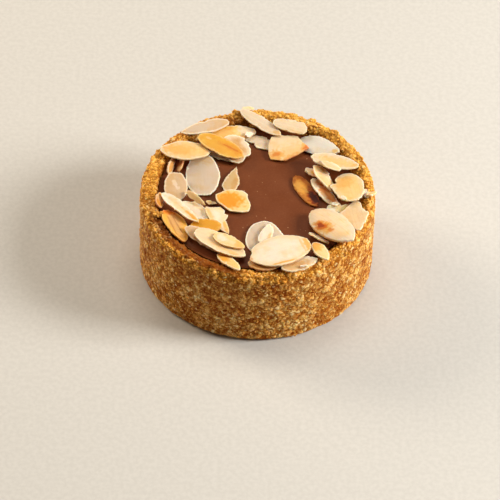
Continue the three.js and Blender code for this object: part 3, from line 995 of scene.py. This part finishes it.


# %% [markdown]
# Now each flake gets its own row, by its number: heart and margin colour, and then what sets it
# apart. The spots are rows too: spots that toasted, spots that stayed pale, and a few painted
# shadows and painted highlights. Each row holds the flake's number, the colour, x, y, length and
# width in millimetres, heading in degrees and strength. A flake gets its toasts and painted shadows
# first, in their order here, and then its pale spots and painted highlights.

# %% Say how each flake is coloured
SLICES = {
    1: (WHITE, WHITE, {}), 2: (HONEY, HONEY, {}), 3: (TOASTED, HONEY, {"rim": 0.1}),
    4: (GREIGE, GREIGE, {"rim": 0.9}), 5: (GREIGE, GREIGE, {"rim": 0.4}),
    # flake 6: its toasted colour is partly painted shade
    6: (TOASTED, TOASTED, {"rim": 0.2}), 7: (HONEY, GOLD, {"rim": 0.1, "grain": 2.0}),
    8: (PALE, WHITE, {}), 9: (BEIGE, BEIGE, {"rim": 0.5}), 10: (WHITE, CREAM, {"rim": 0.3}),
    11: (AMBER, AMBER, {"gloss": 0.42, "rim": 0.1}), 12: (CREAM, BUTTER, {"rim": 0.2}),
    13: (CREAM, WHITE, {}), 14: (BUTTER, BUTTER, {"width": 0.9, "rim": 0.5, "gloss": 0.4}),
    15: (GREIGE, GREIGE, {"rim": 0.9}), 16: (WHITE, WHITE, {"rim": 0.7}),
    # flake 17: its honey colour is partly painted shade
    17: (HONEY, HONEY, {"rim": 0.1}), 18: (BEIGE, PALE, {}), 19: (BUTTER, BUTTER, {}),
    20: (WHITE, CREAM, {"width": 1.2, "rim": 0.3, "grain": 0.6}), 21: (WHITE, WHITE, {}),
    22: (BEIGE, BEIGE, {}), 23: (CREAM, BUTTER, {}), 24: (CREAM, CREAM, {"rim": 0.4}),
    25: (CREAM, BUTTER, {"rim": 0.2}),
    26: (TOASTED, BROWNED, {"width": 0.8, "rim": 0.0, "gloss": 0.42}),
    27: (HONEY, PALE, {"width": 1.2, "rim": 0.6}), 28: (CREAM, CREAM, {}), 29: (PALE, CREAM, {}),
    30: (BLANCHED, BLANCHED, {"rim": 0.6}), 31: (CREAM, CREAM, {"width": 0.8, "rim": 0.5}),
    32: (CREAM, PALE, {"grain": 1.4, "rim": 0.1}),
    33: (BUTTER, CREAM, {"width": 1.0, "rim": 0.5}), 34: (CREAM, PALE, {"width": 1.8}),
    35: (GREIGE, PALE, {"rim": 0.5}), 36: (MILK, MILK, {"grain": 0.5}),
    37: (CREAM, CREAM, {"rim": 0.1}), 38: (BUTTER, GOLD, {}), 39: (PALE, PALE, {}),
    40: (PALE, PALE, {"rim": 0.3}), 41: (CREAM, PALE, {"rim": 0.35}),
    42: (HONEY, PALE, {"rim": 0.6}), 43: (BEIGE, BEIGE, {"rim": 0.6}),
    44: (AMBER, AMBER, {"gloss": 0.36, "width": 0.9, "rim": 0.2}),
}

# %% Place the toasted and the pale spots, and the painted shadows and highlights
TOASTS_AND_SHADOWS = (
    (2, GILT, -30, 12.4, 9, 5, 76, 0.7), (3, COPPER, -26.6, 13.5, 3, 9, 82, 0.7),
    (4, STRAW, -20, 17, 14, 6, 0, 0.6), (5, STRAW, -8.9, 7.5, 14, 9, 84, 0.9),
    (5, GILT, -8, 5.4, 9, 2.4, 84, 0.3), (7, COPPER, -30.6, -9.6, 5, 10, -66, 0.8),
    (7, GILT, -27.6, -15, 20, 14, -66, 0.3), (7, SCORCH, -28.2, -17.2, 11, 0.7, -68, 0.4),
    (7, SCORCH, -26.2, -16.4, 12, 0.6, -64, 0.4), (7, SCORCH, -23.6, -22.6, 6, 5, -66, 0.3),
    (8, STRAW, -20, -5, 10, 4, -45, 0.5), (9, STRAW, -30.5, 5.5, 7, 6, 60, 0.4),
    (9, STRAW, -29.5, -1.5, 7, 4, 0, 0.4), (10, GILT, -9.2, -16.6, 11, 3, -68, 0.8),
    (10, STRAW, -16.4, -9.4, 8, 2.6, -70, 0.7), (11, GILT, -17, -15.8, 14, 9, -6, 0.9),
    (13, GILT, -22, -12.4, 10, 1.2, -43, 0.9), (13, STRAW, -25, -9.6, 16, 3, -43, 0.6),
    (14, GILT, -9.6, -3.2, 12, 10, 0, 1), (14, GILT, -9.4, -3.4, 9, 7, 10, 0.5),
    # flake 17: its golden spot is partly painted shade
    (16, GILT, 5.1, -19.6, 3, 4, 0, 0.6), (17, GILT, 2.2, -34.8, 12, 4, 0, 0.6),
    (18, GILT, 13.4, -34.4, 12, 5, 24, 0.6), (19, GILT, 19.4, -24.6, 7, 5, -60, 0.8),
    (19, COPPER, 19, -22.6, 4, 3, -60, 0.3), (20, GILT, 17.2, -25.6, 2, 10, 20, 0.8),
    (20, GILT, 15.2, -24.9, 1, 8, 20, 0.5), (20, GILT, 9.6, -33.8, 10, 0.9, 18, 0.9),
    (20, COPPER, -2, -31.8, 1.8, 4, 10, 0.5), (21, STRAW, 18.4, -19, 4, 3, -36, 0.6),
    (22, GILT, -14, -25, 16, 4, -33, 0.6), (22, STRAW, -14, -25, 20, 12, -33, 0.6),
    (23, GILT, -11.2, -29.6, 7, 4, -50, 0.9), (23, STRAW, -8.8, -32.2, 12, 6, -50, 0.6),
    (24, GILT, -8, -29, 20, 1.6, -30, 0.4), (25, GILT, -5, -26.4, 6, 5, -25, 0.6),
    (26, COPPER, 14, 9.4, 6, 4, -60, 0.3), (26, COPPER, 18.4, 1.4, 15, 5, -64, 0.3),
    (26, SCORCH, 18.4, 1, 11, 4.2, -60, 0.9), (26, CHAR, 18.8, 0.4, 8, 2.6, -60, 0.9),
    # flake 27: its copper spots are painted shadow
    (27, COPPER, 24.6, 1, 15, 4.4, -55, 0.85), (27, COPPER, 21, 7, 4, 4, -55, 0.5),
    # flake 28: its golden and copper spots are painted shadow
    (28, GILT, 19.4, 10.6, 4, 6, -30, 1), (28, COPPER, 20, 10.2, 3, 5, -30, 0.6),
    (29, GILT, 21, 12.2, 5, 6, 0, 0.5), (29, STRAW, 23, 6, 8, 4, -60, 0.6),
    (30, STRAW, 29, -5.4, 5, 5, 0, 0.9), (31, GILT, 32.4, -11, 9, 7, -60, 0.2),
    (32, GILT, 22.2, -17.2, 8, 6, -40, 0.9), (32, COPPER, 21.6, -16.5, 5, 3.6, -40, 0.95),
    (32, SCORCH, 21.4, -16.2, 2.8, 2, -30, 0.7), (32, COPPER, 24.6, -18.8, 2.6, 2, -30, 0.6),
    (32, GILT, 20.2, -20.4, 15, 3.2, -50, 0.7), (32, COPPER, 24.6, -23.4, 6, 1.4, -50, 0.3),
    (33, GILT, 28.4, 5.4, 9, 7, -20, 0.5), (33, STRAW, 31, 3, 14, 12, 0, 0.3),
    (34, STRAW, 26.6, 14, 15, 5, -14, 0.8), (34, GILT, 33, 12.6, 2, 2, -14, 0.4),
    (36, GILT, 26.2, 20.2, 3, 2, -38, 0.7), (37, GILT, 5.8, 19.6, 6, 5, 10, 0.8),
    (37, COPPER, 5.6, 20, 3.2, 2, 10, 0.6), (37, GILT, 16, 23, 4, 6, -30, 0.7),
    (37, COPPER, 16.4, 23, 2, 4.2, -30, 0.8), (37, STRAW, 11.6, 20.4, 18, 10, 22, 0.5),
    (37, GILT, 11.4, 18.6, 14, 3.2, 31, 0.8), (37, COPPER, 11.8, 18.5, 13, 1.8, 32, 0.9),
    (37, SCORCH, 13, 19, 6, 0.9, 34, 0.8), (38, GILT, -12, 28, 9, 8, 14, 0.6),
    (39, GILT, 7, 27.6, 5, 2.4, -37, 0.6), (40, STRAW, 12, 30, 14, 8, -12, 0.2),
    (40, GILT, 12.2, 28.4, 9, 1, -12, 0.5), (41, GILT, -27, 18, 13, 5, 11, 0.5),
    (41, STRAW, -25, 18.4, 20, 12, 11, 0.8), (42, STRAW, -9.4, 19.6, 14, 10, -50, 0.5),
    (44, GILT, -12.8, 21.4, 22, 10, -28, 0.7), (44, COPPER, -9.6, 20.2, 12, 3, -28, 0.25),
    (44, COPPER, -9.8, 20.2, 9, 0.9, -28, 0.6),
)
PALES_AND_HIGHLIGHTS = (
    # flake 9: its two white spots are painted highlights
    (6, HONEY, -33, -4.6, 4, 4, 0, 0.6), (9, WHITE, -28.2, 3.6, 3.4, 1.6, 110, 0.5),
    (9, WHITE, -27, 2, 2.2, 1.4, 40, 0.4), (14, CREAM, -4.4, 2.2, 5, 6, 0, 0.6),
    (15, PALE, 6.6, -15.6, 6, 8, 0, 0.5), (18, WHITE, 20.3, -30.6, 3, 5, 20, 0.6),
    # flake 25: its white spot is a painted highlight
    (25, WHITE, -11.6, -23.4, 4, 3, -25, 0.7), (26, GOLD, 14.6, 5, 9, 4, -63, 0.5),
    (38, PALE, -3, 31.2, 10, 10, 0, 0.9), (43, GREIGE, -20.6, 29, 12, 4, 23, 0.6),
    (44, BUTTER, -14.6, 17.4, 13, 1, -28, 0.5), (44, BUTTER, -17.4, 24, 2.2, 1, -28, 0.5),
)

# %% Finish the flakes
for number, (heart, margin, more) in SLICES.items():
    flake = flakes[number]
    node = flake.name.replace("flake", "almond")
    toasts_and_shadows = [spot for owner, *spot in TOASTS_AND_SHADOWS if owner == number]
    pales_and_highlights = [spot for owner, *spot in PALES_AND_HIGHLIGHTS if owner == number]
    finish = almond_finish(flake.name + "_finish", heart, margin, toasts_and_shadows=toasts_and_shadows, pales_and_highlights=pales_and_highlights, **more)
    flake.data.materials.append(finish)
    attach(flake, "root")
    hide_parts(node)
print("flakes:", len(flakes))

# %% [markdown]
# ## Broken bits and clods
# Slices break as they are scattered, and crumbs fall off the rim. A bit of almond is a small
# slice, so it starts as a disc of nine sides with its corners pulled about, and then goes through
# the same steps as a flake. A clod of crumbs is a lump that gets the relief and the finish of the
# crust. Each is laid on whatever is highest at its place, found by looking straight down.

# %% Find what a piece lies on
LOOK_FROM = 0.1
BIT_THICKNESS = 0.8 * MM


def top_at(x, y):
    """The height of the highest surface at a place of the tart."""
    layers = bpy.context.evaluated_depsgraph_get()
    hit, spot, *_ = bpy.context.scene.ray_cast(layers, Vector((x, y, LOOK_FROM)), (0.0, 0.0, -1.0))
    return spot.z if hit else 0.0


# %% Lay the bits of almond
BIT_SIDES = 9
BIT_PULLED = 0.15
BIT_BREAK = 0.6
BIT_MARGIN = 0.4
# x, y, length and width in mm, heading, tilt along and across in degrees, lift in mm, colours
BITS = {
    "gold_shard": (-4.2, 39.0, 5.0, 2.2, 8, 0, 14, 0.2, (GOLD, BUTTER)),
    "cream_sliver": (24.4, 11.2, 8.6, 3.6, -24, 4, 6, 0.1, (BUTTER, CREAM)),
    "white_scrap": (36.4, 0.6, 4.6, 3.6, -70, 4, 0, 0.1, (WHITE, WHITE)),
    "gold_chip": (38.2, -0.6, 4.6, 3.4, 42, 10, -24, 0.7, (GOLD, BUTTER)),
    "white_crumb_a": (26.2, -4.4, 3.6, 2.6, 30, 10, -14, 0.2, (WHITE, WHITE)),
    "white_crumb_b": (29.0, -4.0, 3.4, 2.2, -50, -12, 10, 0.3, (CREAM, WHITE)),
    "white_tip": (-3.8, 28.2, 3.4, 2.8, 60, 0, 12, 0.2, (WHITE, WHITE)),
    "brown_chip": (-15.6, -3.6, 4.6, 2.0, -10, 0, 20, 0.3, (TOASTED, GOLD)),
    "pink_chip": (16.0, -34.9, 3.4, 1.6, 10, 0, -20, 0.2, (BEIGE, PALE)),
}


def lay_bit(name, row, seed):
    x, y, length, width, heading, along, across, lift, (heart, margin) = row
    bpy.ops.mesh.primitive_cylinder_add(
        vertices=BIT_SIDES, radius=0.5, depth=1.0, end_fill_type="TRIFAN",
        location=(x * MM, y * MM, top_at(x * MM, y * MM) + BIT_THICKNESS / 2 + lift * MM),
        rotation=(math.radians(across), math.radians(along), math.radians(heading)),
    )
    bit = bpy.context.object
    bit.name = name
    bit.scale = (length * MM, width * MM, BIT_THICKNESS)
    start_edit(bit, "VERT", "SELECT")
    bpy.ops.transform.vertex_random(offset=BIT_PULLED, seed=seed)
    end_edit()
    settle(bit)
    round_and_roughen(bit, 2, seed, BIT_BREAK)
    bit.data.materials.append(almond_finish(name + "_finish", heart, margin, width=BIT_MARGIN))
    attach(bit, "root")
    return bit


bits = [lay_bit(name, row, 100 + seed) for seed, (name, row) in enumerate(BITS.items())]
print("bits of almond:", len(bits))

# %% Lay the clods
LUMP_SIZE = 1.8 * MM
LUMP_PUSH = 1.4 * MM
# x, y, size along x, y and z, and how deep it is sunk, all in mm
CLODS = {
    "left_clod": (-33.4, -12.6, (4.2, 3.2, 2.2), 0.5),
    "back_clod": (-8.1, 38.0, (4.0, 2.6, 2.0), 0.7),
    "right_clod_a": (25.7, 28.4, (3.0, 2.6, 2.2), 0.9),
    "right_clod_b": (34.6, 17.2, (2.6, 3.0, 2.2), 0.9),
    "right_clod_c": (17.9, 34.8, (3.4, 2.4, 1.9), 0.9),
    "front_clod_a": (-3.8, -38.4, (3.8, 2.2, 1.8), 0.8),
    "front_clod_b": (8.9, -38.3, (3.2, 2.2, 1.8), 0.8),
    "front_clod_c": (30.2, -24.6, (2.8, 2.8, 2.0), 0.8),
}


def lay_clod(name, x, y, size, sunk):
    spot = (x * MM, y * MM, top_at(x * MM, y * MM) + (0.5 * size[2] - sunk) * MM)
    bpy.ops.mesh.primitive_ico_sphere_add(subdivisions=5, radius=0.5, location=spot)
    clod = bpy.context.object
    clod.name = name
    clod.scale = Vector(size) * MM
    settle(clod)
    displace(clod, "lump", LUMP_SIZE, LUMP_PUSH)
    clod.modifiers.new("press_crumbs", "NODES").node_group = press_crumbs
    apply_modifiers(clod)
    clod.data.attributes["loose"].data.foreach_set("value", [1.0] * len(clod.data.vertices))
    shade_smooth(clod)
    clod.data.materials.append(crust_finish)
    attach(clod, "root")
    return clod


clods = [lay_clod(name, *row) for name, row in CLODS.items()]
print("clods:", len(clods))
